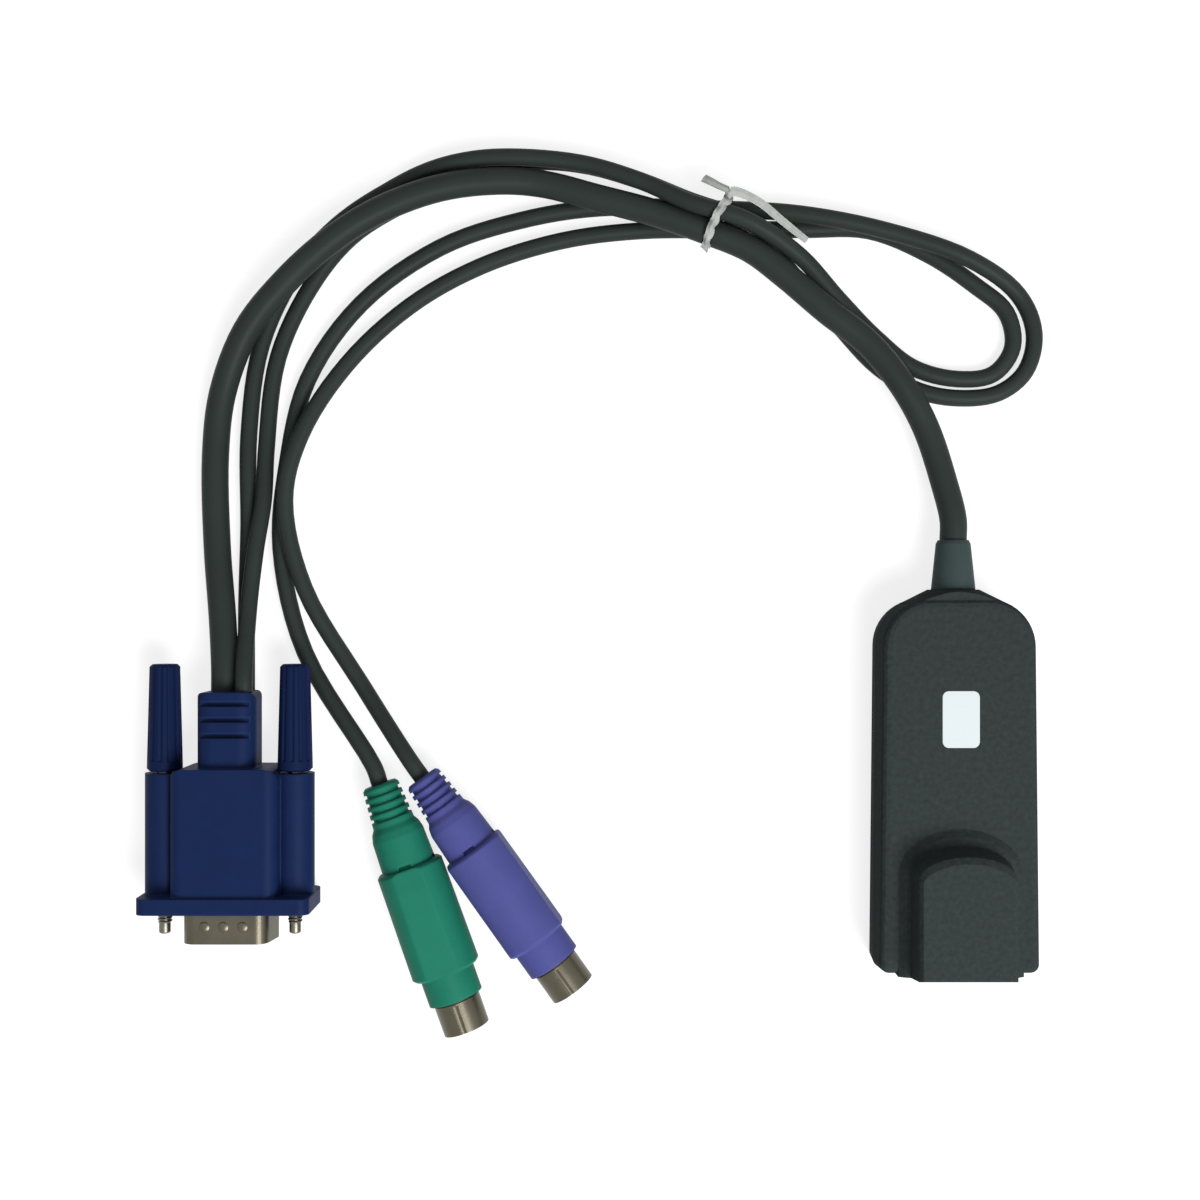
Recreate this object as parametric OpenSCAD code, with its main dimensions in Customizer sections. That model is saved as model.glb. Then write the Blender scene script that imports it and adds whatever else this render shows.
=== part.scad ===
// Keyboard, video and mouse adapter cable: a small case with a network socket,
// one main cable to a video plug, and two thin leads that end in round plugs.
// Millimetres. X is to the right, Y runs along the case towards its cable, Z is
// up, and the table that everything lies on is at zero.

/* [Case] */
// Width of the case at its cable end
case_w = 29.8; // [26:0.1:36]
// Width of the case at its socket end
case_end_w = 31; // [26:0.1:37]
// How far the sides lean in from the seam to the top and to the bottom
side_lean = 0.4; // [0:0.05:0.4]
// Length of the case from the socket end to the cable end
case_l = 73; // [66:0.5:90]
// Height of the flat top of the case above the table
case_h = 13; // [12:0.25:15]
// Height at which the two halves of the case meet
split_z = 6; // [5:0.25:7]
// Thickness of the walls of the case
wall_t = 1.6; // [1.2:0.1:2]
// Radius of the broad shoulders at the cable end
shoulder_r = 9.5; // [8:0.5:11]
// Radius of the small corners at the socket end
corner_r = 2.2; // [2:0.1:3]
// Radius that softens the upper edge of the case
edge_r = 1.5; // [0.8:0.1:1.6]
// Radius that softens the lower edge of the case
foot_r = 0.6; // [0.3:0.1:1]
// Length of the collar that the cable boot leaves through
collar_ring_l = 1.4; // [0.8:0.1:2]
// Radius of that collar at the boot
collar_ring_r = 4.9; // [4.6:0.1:5.4]
// Half the width of the collar where it grows out of the case
collar_foot_r = 10; // [8:0.5:11]
// Height of the raised socket housing above the flat top
hump_h = 7; // [6.8:0.1:8]
// Width of the raised housing at its foot
hump_foot_w = 23.7; // [22.8:0.1:24.4]
// Width of the raised housing at the ledge above its foot
hump_ledge_w = 21.4; // [20.6:0.1:22]
// Width of the raised housing where its steep side leaves the ledge
hump_slope_w = 19.4; // [19:0.1:20.4]
// Width of the raised housing below its rounded top edge
hump_shoulder_w = 18.3; // [17.6:0.1:18.8]
// Width of the flat top of the raised housing
hump_top_w = 17; // [16:0.1:18]
// Height of the ledge above the foot
ledge_h = 1.1; // [0.8:0.1:2]
// How much the ledge climbs towards the steep side
ledge_climb = 0.4; // [0.2:0.1:0.8]
// Height of the rounded top edge
top_edge_h = 0.9; // [0.4:0.1:1.2]
// How far the front of the raised housing leans back
hump_front_draft = 0.75; // [0.2:0.05:1]
// Length of the straight part of the raised housing
hump_l = 19.2; // [18.8:0.1:22]
// Rise of the arch at the foot
hump_foot_rise = 8.7; // [5:0.1:11]
// Rise of the arch at the ledge
hump_ledge_rise = 7.3; // [6:0.1:8]
// Rise of the arch where the steep side leaves the ledge
hump_slope_rise = 5.8; // [5:0.1:6.6]
// Rise of the arch below the rounded top edge
hump_shoulder_rise = 4.4; // [3.8:0.1:5]
// Rise of the arch of the flat top
hump_top_rise = 3.2; // [2:0.1:4.5]
// Width of the blank badge
badge_w = 7; // [5:0.5:12]
// Length of the blank badge
badge_l = 10.7; // [8:0.1:16]
// Distance of the badge's centre from the middle of the case
badge_y = 12; // [6:0.5:16]

/* [Board and socket] */
// Height of the posts that carry the circuit board above the case floor
post_h = 2.4; // [2:0.1:3]
// Thickness of the circuit board
board_t = 1.6; // [1:0.1:2]
// Width of the network socket's body
jack_w = 15; // [14.4:0.1:15.4]
// Height of the network socket's body above the board
jack_h = 12.8; // [11.6:0.1:12.9]
// Length of the network socket's body
jack_l = 18; // [16:0.25:18.5]
// Width of the socket's opening
jack_hole_w = 11.8; // [11.7:0.05:12.2]
// Height of the socket's opening without its latch slot
jack_hole_h = 6.8; // [6.6:0.1:7]
// Depth of the socket's opening
jack_hole_d = 12.4; // [11:0.1:13]
// Width of the slot for the latch of the network plug
latch_w = 6.2; // [6:0.1:7]
// Depth of the latch slot below the opening
latch_h = 1.5; // [1:0.1:1.8]
// Spacing of the eight contacts
contact_pitch = 1.02; // [0.9:0.01:1.1]
// Width of one contact
contact_w = 0.46; // [0.3:0.02:0.6]

/* [Case screws] */
// Radius of a case screw's shaft
case_screw_r = 1.1; // [0.9:0.1:1.3]
// Radius of a case screw's head
case_screw_head_r = 2; // [1.6:0.1:2.2]
// Height of a case screw's head
case_screw_head_h = 1.3; // [1:0.1:1.6]
// Length of a case screw's shaft
case_screw_l = 7; // [5:0.5:8]
// Distance of a case screw from the middle line
case_screw_x = 8; // [7:0.25:8.5]
// Distance of the case screws from the cable end
case_screw_end = 11; // [10:0.5:12.5]

/* [Cable boot] */
// Height of the cable's axis above the table
boot_z = 6.5; // [6:0.25:6.75]
// Length of the boot outside the case
boot_l = 9.5; // [8:0.5:14]
// Radius of the boot where it meets the case
boot_foot_r = 4.2; // [4:0.05:4.4]
// Radius of the boot at its free end
boot_tip_r = 3.3; // [3:0.1:3.8]
// Radius of the boot's neck in the wall of the case
boot_neck_r = 3.9; // [3.7:0.05:4]

/* [Cables] */
// Radius of the main cable
main_r = 2.6; // [2.4:0.1:2.8]
// Radius of each of the two thin leads
lead_r = 1.65; // [1.5:0.05:1.8]

/* [Twist tie] */
// Width of the twist tie's band
tie_w = 2.1; // [1.5:0.1:4]
// Thickness of the twist tie
tie_t = 0.5; // [0.4:0.05:0.8]
// Gap between the tie and the cables it holds
tie_gap = 0.15; // [0.1:0.05:0.25]

/* [Video plug] */
// Distance of the video plug's axis from the middle of the case, to the left
vga_x = 139; // [120:0.5:160]
// Height of the video plug's axis above the table
vga_z = 7.5; // [7.5:0.1:12]
// Position along Y of the front face of the plug's flange, towards the socket end
vga_front = 24.6; // [10:0.1:40]
// Width of the flange
flange_w = 32.6; // [32:0.1:36]
// Height of the flange
flange_h = 15; // [13.6:0.1:15]
// Thickness of the flange
flange_t = 3; // [2:0.1:5]
// Length of the plug's body behind the flange
hood_l = 24.2; // [20:0.1:30]
// Width of the raised middle of the plug's body
hood_w = 20.4; // [19:0.1:21]
// Height of the raised middle of the plug's body
hood_h = 13.4; // [11:0.1:14.4]
// Radius of the round channels that hold the thumbscrews
channel_r = 3.7; // [3.2:0.1:4]
// Length of the channels behind the flange
channel_l = 23; // [18:0.1:24]
// Width of the flat strain relief of the video plug
relief_w = 11.2; // [10.6:0.1:13]
// Height of the strain relief of the video plug
relief_h = 10.4; // [9.4:0.1:11]
// Length of the strain relief of the video plug
relief_l = 14.4; // [13:0.1:16]
// Radius of the two corners at the strain relief's free end
relief_end_r = 1.5; // [0.8:0.1:2]
// Width of one slot in the strain relief
slot_w = 0.9; // [0.5:0.1:1.2]
// Distance between two slots
slot_pitch = 3; // [2:0.1:4]
// Length of one slot across the strain relief
slot_l = 9.2; // [6:0.1:10]
// Depth of one slot
slot_d = 1.1; // [0.6:0.1:2]

/* [Video connector] */
// Distance between the two thumbscrews
screw_span = 25; // [24:0.1:26]
// Width of the steel plate
plate_w = 30.8; // [30:0.1:31.2]
// Height of the steel plate
plate_h = 12.5; // [11:0.1:13]
// Thickness of the steel plate
plate_t = 0.8; // [0.5:0.1:1.2]
// Width of the D-shaped opening on its longer side
dee_w = 16.9; // [16.5:0.1:17.3]
// Height of the D-shaped opening
dee_h = 8.4; // [8:0.1:8.8]
// Thickness of the D-shaped shell
dee_t = 0.45; // [0.3:0.05:0.6]
// Length of the D-shaped shell in front of the flange
dee_l = 6; // [5:0.1:7]
// Corner radius of the D-shaped opening
dee_r = 2; // [1.5:0.1:2.6]
// Slope of the D-shaped shell's sides in degrees
dee_slope = 10; // [8:0.5:12]
// Radius of one contact pin
pin_r = 0.38; // [0.3:0.02:0.45]
// Length of one contact pin in front of the insert
pin_l = 5.2; // [4.5:0.1:5.6]
// Spacing of the pins along a row
pin_pitch = 2.29; // [2.1:0.01:2.4]
// Spacing of the three rows
row_pitch = 1.98; // [1.8:0.01:2.1]

/* [Thumbscrews] */
// Radius of a thumbscrew's steel shank
screw_r = 1.2; // [1:0.05:1.25]
// Radius of the hole that the thumbscrew passes through
screw_hole_r = 1.5; // [1.46:0.02:1.6]
// Outer radius of the thread, 2.84 mm across
tip_r = 1.42; // [1.38:0.02:1.44]
// Length of the thread
thread_l = 2.4; // [1.6:0.1:3]
// Length of the whole tip in front of the flange
tip_l = 4.8; // [4:0.1:6]
// Radius of the plain point in front of the thread
point_r = 1.1; // [0.9:0.05:1.15]
// Length of a thumbscrew's knob
knob_l = 20.4; // [14:0.1:24]
// Radius of a knob next to the plug
knob_r = 3.35; // [2.8:0.05:3.5]
// Radius of a knob at its free end
knob_tip_r = 2.85; // [2.4:0.05:3]
// Gap between a knob and the plug's body
knob_gap = 0.4; // [0.2:0.1:2]
// Number of grooves round a knob
knob_grooves = 12; // [6:1:16]

/* [Round plugs] */
// Radius of a round plug's barrel at its front
barrel_r = 6.7; // [6.3:0.1:7]
// Radius of a round plug's barrel next to the neck
barrel_back_r = 6.5; // [6.1:0.1:6.6]
// Distance between the two flat sides of the barrel
barrel_flat = 11.7; // [11.4:0.1:12.4]
// Length of a round plug's barrel
barrel_l = 21.5; // [16:0.5:28]
// Length of the ribbed strain relief of a round plug
tail_l = 8; // [7:0.25:12]
// Radius of the ribbed strain relief next to the neck
tail_r = 4.1; // [3.8:0.1:4.4]
// Radius of the ribbed strain relief where the cable enters
tail_end_r = 3.55; // [3.2:0.05:3.8]
// Length of the round neck
neck_l = 8.7; // [7:0.1:12]
// Radius of the round neck next to the barrel
neck_r = 5.3; // [4.8:0.1:5.6]
// Length of the front collar
collar_l = 5.4; // [4:0.1:7]
// Radius of the front collar
collar_r = 5.3; // [5.1:0.1:5.6]
// Outer radius of the steel sleeve
sleeve_r = 4.5; // [4.3:0.05:4.7]
// Thickness of the steel sleeve
sleeve_t = 0.5; // [0.4:0.05:0.6]
// Length of the steel sleeve in front of the collar
sleeve_l = 6.3; // [5:0.1:8]
// Length of the narrow root that the sleeve shows in front of the collar
sleeve_root_l = 0.4; // [0.2:0.1:0.8]
// Radius of one pin in a round plug
din_pin_r = 0.35; // [0.25:0.05:0.4]
// Length of one pin in front of its insert
din_pin_l = 4.4; // [3.5:0.1:5]
// Angle of the mouse plug from the Y axis
mouse_yaw = 19.65; // [0:0.05:60]
// Angle of the keyboard plug from the Y axis
keyboard_yaw = 35.54; // [0:0.02:60]

/* [Hidden] */
$fn = 48;
overrun = 1;
clear = 0.15;
side_count = 8;
main_side_count = 12;
lead_steps = 2;
main_steps = 1;

// Centre points of the cables, chosen by hand from the picture, end to end.
main_route = [
    [0, 46, 6.5], [0, 50, 6.5], [-1.5, 57, 5.6], [-5, 68, 5], [-10, 76.5, 5.9],
    [-16.5, 84.25, 6], [-24.25, 90.25, 6.2], [-32.25, 97, 6.4], [-39, 102, 6.6],
    [-46.75, 105.25, 6.7], [-57.5, 109, 6.6], [-68.5, 112, 6.2], [-78.75, 115, 4.8],
    [-87.25, 115.5, 5.4], [-98.75, 114, 6.1], [-110.5, 109.75, 6.1], [-120, 103.75, 6.3],
    [-129, 95.5, 6.4], [-136.5, 86.5, 5.2], [-141.5, 74.75, 3.2], [-143, 62.75, 2.7],
    [-142.5, 45.25, 3.4], [-140.75, 30.75, 6.2], [-140, 21.5, 7.5], [-140, 17, 7.5]
];
keyboard_route = [
    [-136.5, 17, 4.7], [-136.5, 20.5, 4.7], [-137, 33.5, 2.4], [-136.75, 49.25, 1.65],
    [-136.75, 66.75, 1.65], [-134.25, 84.5, 1.65], [-127.5, 98.75, 1.65], [-119.5, 107.75, 1.65],
    [-110, 114.25, 1.65], [-101.75, 118, 3.1], [-94, 119.75, 4.4], [-85.5, 120.25, 5],
    [-71.75, 119, 5.2], [-60.25, 115, 7.4], [-50.75, 110.25, 9.7], [-39.75, 106.75, 9.8],
    [-29.25, 100.75, 5.8], [-21.75, 93.25, 3.3], [-14.25, 86, 1.65], [-6.75, 80, 1.65],
    [2, 77.75, 1.65], [9, 78.75, 1.65], [12.75, 84, 1.65], [11.5, 90.75, 1.65],
    [5.5, 96, 1.65], [-3.5, 102, 1.65], [-15.25, 106.75, 1.65], [-27.75, 107, 1.65],
    [-43.5, 106.75, 2.4], [-60.25, 106.75, 1.65], [-75.75, 104.75, 1.65], [-91.5, 99.75, 1.65],
    [-105.25, 92, 1.65], [-117.5, 80.5, 2.2], [-126, 66.25, 5], [-129, 53.75, 5.1],
    [-125.5, 36.75, 3.4], [-114.5, 17.75, 1.65], [-104.5, 3.5, 6.7], [-102.25, 0.35, 6.7]
];
mouse_route = [
    [-135.75, 17, 10], [-135.75, 20.5, 10], [-135.75, 34, 5.7], [-134.75, 44.25, 4.7],
    [-133.5, 54, 3.4], [-133.25, 64.75, 1.65], [-131, 82, 1.65], [-124.5, 96, 1.65],
    [-116.75, 105.5, 1.65], [-107, 111.75, 1.65], [-96.5, 116.5, 1.65], [-84.75, 120, 1.65],
    [-72, 119.75, 1.65], [-60.25, 116, 3.8], [-50.5, 111.5, 6], [-42.75, 108.75, 6.3],
    [-37, 106, 5.4], [-31, 99, 2], [-21.75, 88.75, 1.65], [-13.5, 80, 1.65],
    [-5.75, 75.5, 1.65], [2.25, 74, 1.65], [10, 75, 1.65], [15.25, 79.25, 1.65],
    [17, 86.5, 1.65], [14, 94, 1.8], [3.75, 100.5, 4.7], [-12.75, 106, 5.1],
    [-29.25, 109.25, 4.9], [-44.5, 110.75, 2.7], [-68, 111.25, 1.65], [-83.75, 108.75, 1.65],
    [-99.25, 103.5, 1.65], [-114.75, 92.5, 1.65], [-125.25, 77.5, 1.65], [-129.25, 61, 1.65],
    [-130.5, 44.75, 1.65], [-125.75, 24.25, 1.65], [-111.7, 2.4, 5.85], [-110.5, -1, 5.85]
];

// Derived sizes.
half_w = case_w / 2;
end_half_w = case_end_w / 2;
half_l = case_l / 2;
block_l = half_l - collar_ring_l;
shoulder_x = half_w - shoulder_r;
shoulder_y = block_l - shoulder_r;
corner_x = end_half_w - corner_r;
corner_y = corner_r - half_l;
lip_t = wall_t / 2;
lip_h = 1;
inner_top = case_h - wall_t;
board_z = wall_t + post_h;
board_top = board_z + board_t;
board_gap = 0.3;
board_w = min(case_w, case_end_w) - 2 * (wall_t + board_gap);
board_front = board_gap + wall_t - half_l;
board_back = half_l / 2;
board_l = board_back - board_front;
post_r = 2;
jack_recess = 1;
jack_front = jack_recess - half_l;
jack_back = jack_front + jack_l;
jack_top = board_top + jack_h;
jack_sill = (jack_h - jack_hole_h - latch_h) / 3;
latch_z = board_top + jack_sill;
hole_z = latch_z + latch_h;
hole_top = hole_z + jack_hole_h;
boss_wall = 2;
boss_r = case_screw_r + boss_wall;
boss_y = half_l - case_screw_end;
case_screw_head_gap = 0.2;
case_screw_head_z = case_screw_head_h + case_screw_head_gap;
pilot_tip = 0.5;
badge_t = 0.5;
badge_stand = 0.15;
badge_r = 1.2;

axis_z = vga_z;
flange_front = -vga_front;
flange_back = flange_front + flange_t;
hood_back = flange_back + hood_l;
channel_back = flange_back + channel_l;
relief_back = hood_back + relief_l;
flange_r = 2;
hood_r = 2.4;
relief_r = 3.2;
plate_r = plate_h / 5;
insert_front = flange_front - dee_l / 12;
dee_shift = tan(dee_slope) * (dee_h / 2 - dee_r);
dee_arm = dee_w / 2 - dee_r - dee_shift;
screw_x = screw_span / 2;
knob_y = channel_back + knob_gap;
knob_hold = knob_l / 3;
screw_back = knob_y + knob_hold;
thread_relief = 0.3;
thread_back = flange_front - thread_relief;
thread_front = thread_back - thread_l;
point_front = flange_front - tip_l;

tail_front = -tail_l;
neck_front = tail_front - neck_l;
barrel_front = neck_front - barrel_l;
collar_front = barrel_front - collar_l;
sleeve_front = collar_front - sleeve_l;
sleeve_hold = 2;
sleeve_back = collar_front + sleeve_hold;
sleeve_bore = sleeve_r - sleeve_t;
sleeve_root_r = sleeve_r - 0.6 * sleeve_t;
din_insert_front = collar_front - sleeve_l / 4;
din_pin_circle = 0.72 * sleeve_bore;
keyboard_z = barrel_r;
mouse_z = barrel_flat / 2;

// Outline helpers.

// A smooth curve through the points, divided into the given steps.
function span(a, b) = max(norm(b - a), 0.000001);
function slope_at(a, b, c) =
    let (p = sqrt(span(a, b)), q = sqrt(span(b, c)))
    (b - a) / p - (c - a) / (p + q) + (c - b) / q;
function curve_point(a, b, c, d, t) =
    let (q = sqrt(span(b, c)))
    let (m = slope_at(a, b, c) * q)
    let (n = slope_at(b, c, d) * q)
    (2 * pow(t, 3) - 3 * pow(t, 2) + 1) * b + (pow(t, 3) - 2 * pow(t, 2) + t) * m
    + (3 * pow(t, 2) - 2 * pow(t, 3)) * c + (pow(t, 3) - pow(t, 2)) * n;
function point_at(p, i) =
    i < 0 ? 2 * p[0] - p[1]
    : i > len(p) - 1 ? 2 * p[len(p) - 1] - p[len(p) - 2]
    : p[i];
function curve(p, steps, low) = [
    for (i = [0 : len(p) - 2])
        for (k = [0 : steps - 1])
            let (c = curve_point(point_at(p, i - 1), p[i], p[i + 1], point_at(p, i + 2), k / steps))
            [c[0], c[1], max(c[2], low)],
    p[len(p) - 1]
];
function unit(v) = v / norm(v);
function run(p, i) =
    i == 0 ? unit(p[1] - p[0])
    : i == len(p) - 1 ? unit(p[i] - p[i - 1])
    : unit(p[i + 1] - p[i - 1]);
function side(d) = unit([d[1], -d[0], 0]);
function sweep_points(p, first, last, shape) = [
    for (i = [0 : len(p) - 1])
        let (d = i == 0 ? first : i == len(p) - 1 ? last : run(p, i))
        let (s = side(d))
        let (u = cross(s, d))
        for (q = shape)
            p[i] + q[0] * s + q[1] * u
];
function sweep_faces(rings, n) = concat(
    [[for (k = [n - 1 : -1 : 0]) k]],
    [for (i = [0 : rings - 2])
        for (k = [0 : n - 1])
            [i * n + k, i * n + (k + 1) % n, (i + 1) * n + (k + 1) % n, (i + 1) * n + k]],
    [[for (k = [0 : n - 1]) (rings - 1) * n + k]]
);

// A solid of one closed outline carried along a list of points.
module sweep(p, first, last, shape) {
    polyhedron(
        points = sweep_points(p, first, last, shape),
        faces = sweep_faces(len(p), len(shape)),
        convexity = 6
    );
}

// A round cable along a route.
module cable(route, r, steps, sides) {
    n = len(route);
    line = curve(route, steps, r);
    ring = [for (k = [0 : sides - 1]) r * [cos(k * 360 / sides), sin(k * 360 / sides)]];
    sweep(line, unit(route[1] - route[0]), unit(route[n - 1] - route[n - 2]), ring);
}

// A rectangle with round corners.
module round_rect(w, h, r) {
    square([w - 2 * r, h], center = true);
    square([w, h - 2 * r], center = true);
    for (x = [-1, 1])
        for (y = [-1, 1])
            translate([x * (w / 2 - r), y * (h / 2 - r)])
                circle(r);
}

// A shape drawn in X and Z, carried along Y from one position to another.
module along_y(from, to) {
    translate([0, to, 0])
        rotate([90, 0, 0])
            linear_extrude(to - from)
                children();
}

// A body turned about the Y axis; its outline lists radius and Y.
module turned_y(outline) {
    rotate([-90, 0, 0])
        rotate_extrude()
            polygon(outline);
}

// A round bar along Y.
module bar_y(x, z, from, to, r) {
    translate([x, to, z])
        rotate([90, 0, 0])
            cylinder(h = to - from, r = r);
}

// Case.

// One corner of the case, with its soft upper and lower edges.
module case_corner(r) {
    rotate_extrude()
        polygon(concat(
            [[0, 0]],
            [for (a = [0 : 45 : 90])
                [r - side_lean - foot_r + foot_r * sin(a), foot_r - foot_r * cos(a)]],
            [[r, split_z]],
            [for (a = [0 : 30 : 90])
                [r - side_lean - edge_r + edge_r * cos(a), case_h - edge_r + edge_r * sin(a)]],
            [[0, case_h]]
        ));
}

// The outside of the closed case without the raised housing.
module case_block() {
    hull() {
        for (x = [-1, 1]) {
            translate([x * shoulder_x, shoulder_y, 0])
                case_corner(shoulder_r);
            translate([x * corner_x, corner_y, 0])
                case_corner(corner_r);
        }
    }
}

// The outline of the case, drawn in by some distance.
module case_plan(inset) {
    hull() {
        for (x = [-1, 1]) {
            translate([x * shoulder_x, shoulder_y])
                circle(shoulder_r - inset);
            translate([x * corner_x, corner_y])
                circle(corner_r - inset);
        }
    }
}

// The space inside the case.
module case_room() {
    translate([0, 0, wall_t])
        linear_extrude(inner_top - wall_t)
            case_plan(wall_t);
}

// The ring that locks the two halves together, a little taller and wider in the upper half.
module lip(extra) {
    translate([0, 0, split_z - extra])
        linear_extrude(lip_h + 2 * extra)
            difference() {
                case_plan(lip_t - extra / 2);
                case_plan(wall_t);
            }
}

// The arched outline of the raised housing at one level, from left to right.
function arch_ring(z, w, rise, power, draft) = concat(
    [for (a = [180 : -12 : 0])
        [w / 2 * cos(a), hump_l - half_l + rise * pow(sin(a), power), z]],
    [[w / 2, draft - half_l, z], [-w / 2, draft - half_l, z]]
);

top_z = case_h + hump_h;

// The raised housing: a sloping foot, a ledge, steep sides and a soft top edge.
module hump() {
    slope_z = case_h + ledge_h + ledge_climb;
    rings = [
        arch_ring(case_h - 2 * edge_r, hump_foot_w, hump_foot_rise, 1, 0),
        arch_ring(case_h, hump_foot_w, hump_foot_rise, 1, 0),
        arch_ring(case_h + ledge_h, hump_ledge_w, hump_ledge_rise, 1, hump_front_draft / 6),
        arch_ring(slope_z, hump_slope_w, hump_slope_rise, 1, hump_front_draft / 5),
        arch_ring(top_z - top_edge_h, hump_shoulder_w, hump_shoulder_rise, 1, 0.7 * hump_front_draft),
        arch_ring(top_z, hump_top_w, hump_top_rise, 1.5, hump_front_draft)
    ];
    polyhedron(
        points = [for (r = rings) each r],
        faces = sweep_faces(len(rings), len(rings[0])),
        convexity = 6
    );
}

// The room for the network socket, open at the end of the case.
module socket_room(floor_z) {
    room_w = jack_w + 2 * clear;
    translate([-room_w / 2, -half_l - overrun, floor_z])
        cube([room_w, overrun + jack_back + half_l + clear, jack_top + clear - floor_z]);
}

// The collar round the boot, broad where it leaves the case, and the hole through it.
collar_foot_y = shoulder_y + sqrt(pow(shoulder_r, 2) - pow(collar_foot_r - shoulder_x, 2));

module boot_ring() {
    intersection() {
        translate([0, 0, boot_z])
            turned_y([
                [0, collar_foot_y], [collar_foot_r, collar_foot_y],
                [collar_ring_r, half_l], [0, half_l]
            ]);
        translate([-case_w, 0, foot_r])
            cube([2 * case_w, case_l, case_h - edge_r / 2 - foot_r]);
    }
}

module boot_hole() {
    bar_y(0, boot_z, block_l - wall_t - overrun, half_l + overrun, boot_neck_r);
}

module case_screw_places() {
    for (x = [-1, 1])
        translate([x * case_screw_x, boss_y, 0])
            children();
}

module case_outside() {
    case_block();
    hump();
    boot_ring();
}

module below(z) {
    translate([-case_w, -case_l, z - case_h - hump_h])
        cube([2 * case_w, 2 * case_l, case_h + hump_h]);
}

module above(z) {
    translate([-case_w, -case_l, z])
        cube([2 * case_w, 2 * case_l, case_h + hump_h]);
}

module module_bottom_shell() {
    color("#343837")
    difference() {
        union() {
            difference() {
                union() {
                    case_block();
                    boot_ring();
                }
                case_room();
                above(split_z);
            }
            difference() {
                lip(0);
                bar_y(0, boot_z, block_l - wall_t - overrun, half_l, collar_ring_r);
            }
            case_screw_places()
                cylinder(h = split_z, r = boss_r);
            for (x = [-1, 1])
                for (y = [board_front + 2 * post_r, board_back - 2 * post_r])
                    translate([x * (board_w / 2 - 2 * post_r), y, wall_t / 2])
                        cylinder(h = board_z - wall_t / 2, r = post_r);
        }
        boot_hole();
        socket_room(board_top - clear);
        case_screw_places() {
            cylinder(h = 2 * split_z, r = case_screw_r);
            translate([0, 0, -overrun])
                cylinder(h = overrun + case_screw_head_z, r = case_screw_head_r + clear);
        }
    }
}

module module_top_shell() {
    color("#343837")
    difference() {
        union() {
            difference() {
                case_outside();
                case_room();
                below(split_z);
            }
            case_screw_places()
                translate([0, 0, split_z])
                    cylinder(h = inner_top - split_z + wall_t / 2, r = boss_r);
        }
        lip(clear);
        boot_hole();
        socket_room(split_z - overrun);
        case_screw_places()
            cylinder(h = case_screw_head_z + case_screw_l + pilot_tip, r = case_screw_r);
        translate([0, badge_y, case_h + badge_stand - badge_t])
            linear_extrude(badge_t)
                round_rect(badge_w, badge_l, badge_r);
    }
}

module blank_badge() {
    color("#e9edf0")
    translate([0, badge_y, case_h + badge_stand - badge_t])
        linear_extrude(badge_t)
            round_rect(badge_w, badge_l, badge_r);
}

module circuit_board() {
    color("#1f6b3a")
    translate([-board_w / 2, board_front, board_z])
        cube([board_w, board_l, board_t]);
}

module network_socket() {
    color("#202223")
    difference() {
        translate([-jack_w / 2, jack_front, board_top])
            cube([jack_w, jack_l, jack_h]);
        translate([-jack_hole_w / 2, jack_front - overrun, hole_z])
            cube([jack_hole_w, jack_hole_d + overrun, jack_hole_h]);
        translate([-latch_w / 2, jack_front - overrun, latch_z])
            cube([latch_w, jack_hole_d + overrun, 2 * latch_h]);
    }
}

contact_t = 0.35;
contact_drop = 0.3 * jack_hole_h;
contact_back = jack_front + jack_hole_d;
contact_knee = jack_front + 0.12 * jack_hole_d;
contact_end = jack_front + 0.74 * jack_hole_d;

module network_socket_contacts() {
    color("#d9b45a")
    for (i = [0 : 7])
        translate([(i - 3.5) * contact_pitch + contact_w / 2, 0, hole_top])
            rotate([90, 0, -90])
                linear_extrude(contact_w)
                    polygon([
                        [-contact_back, 0], [-contact_knee, 0],
                        [-contact_knee, -contact_t], [-contact_end, -contact_drop - contact_t],
                        [-contact_end, -contact_drop], [-contact_knee - 2 * contact_t, -contact_t],
                        [-contact_back, -contact_t]
                    ]);
}

chip_w = board_w / 3;
chip_t = 1.2;
chip_y = board_back - board_l / 3;
small_chip_w = board_w / 5;
cap_r = board_w / 10;
cap_h = 0.7 * (inner_top - board_top);

module board_chips() {
    color("#1b1c1e")
    translate([0, 0, board_top]) {
        translate([-chip_w / 2, chip_y - chip_w / 2, 0])
            cube([chip_w, chip_w, chip_t]);
        translate([-board_w / 2 + small_chip_w / 2, chip_y, 0])
            cube([small_chip_w, small_chip_w, chip_t]);
        translate([board_w / 2 - 2 * cap_r, chip_y + cap_r, 0])
            cylinder(h = cap_h, r = cap_r);
        translate([board_w / 2 - small_chip_w, chip_y - chip_w, 0])
            cube([small_chip_w / 2, small_chip_w, chip_t]);
    }
}

header_w = board_w / 2;
header_d = 3.4;
header_h = 0.8 * (inner_top - board_top);
header_pin_r = 0.4;

module board_cable_header() {
    color("#e8e4d8")
    translate([-header_w / 2, board_back - 2 * header_d, board_top])
        difference() {
            cube([header_w, header_d, header_h]);
            for (i = [1 : 6])
                translate([i * header_w / 7, header_d / 2, header_h / 2])
                    cylinder(h = header_h, r = header_pin_r);
        }
}

module case_screws() {
    color("#8f9296")
    case_screw_places()
        difference() {
            union() {
                translate([0, 0, case_screw_head_gap])
                    cylinder(h = case_screw_head_h, r = case_screw_head_r);
                translate([0, 0, case_screw_head_gap])
                    cylinder(h = case_screw_head_h + case_screw_l, r = case_screw_r);
            }
            for (a = [0, 90])
                rotate([0, 0, a])
                    cube([1.4 * case_screw_r, case_screw_r / 2, case_screw_head_h + case_screw_head_gap],
                        center = true);
        }
}

boot_flange_r = 4.6;
boot_flange_t = 1.8;
boot_inner = block_l - wall_t;
boot_chamfer = boot_tip_r - main_r;

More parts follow.
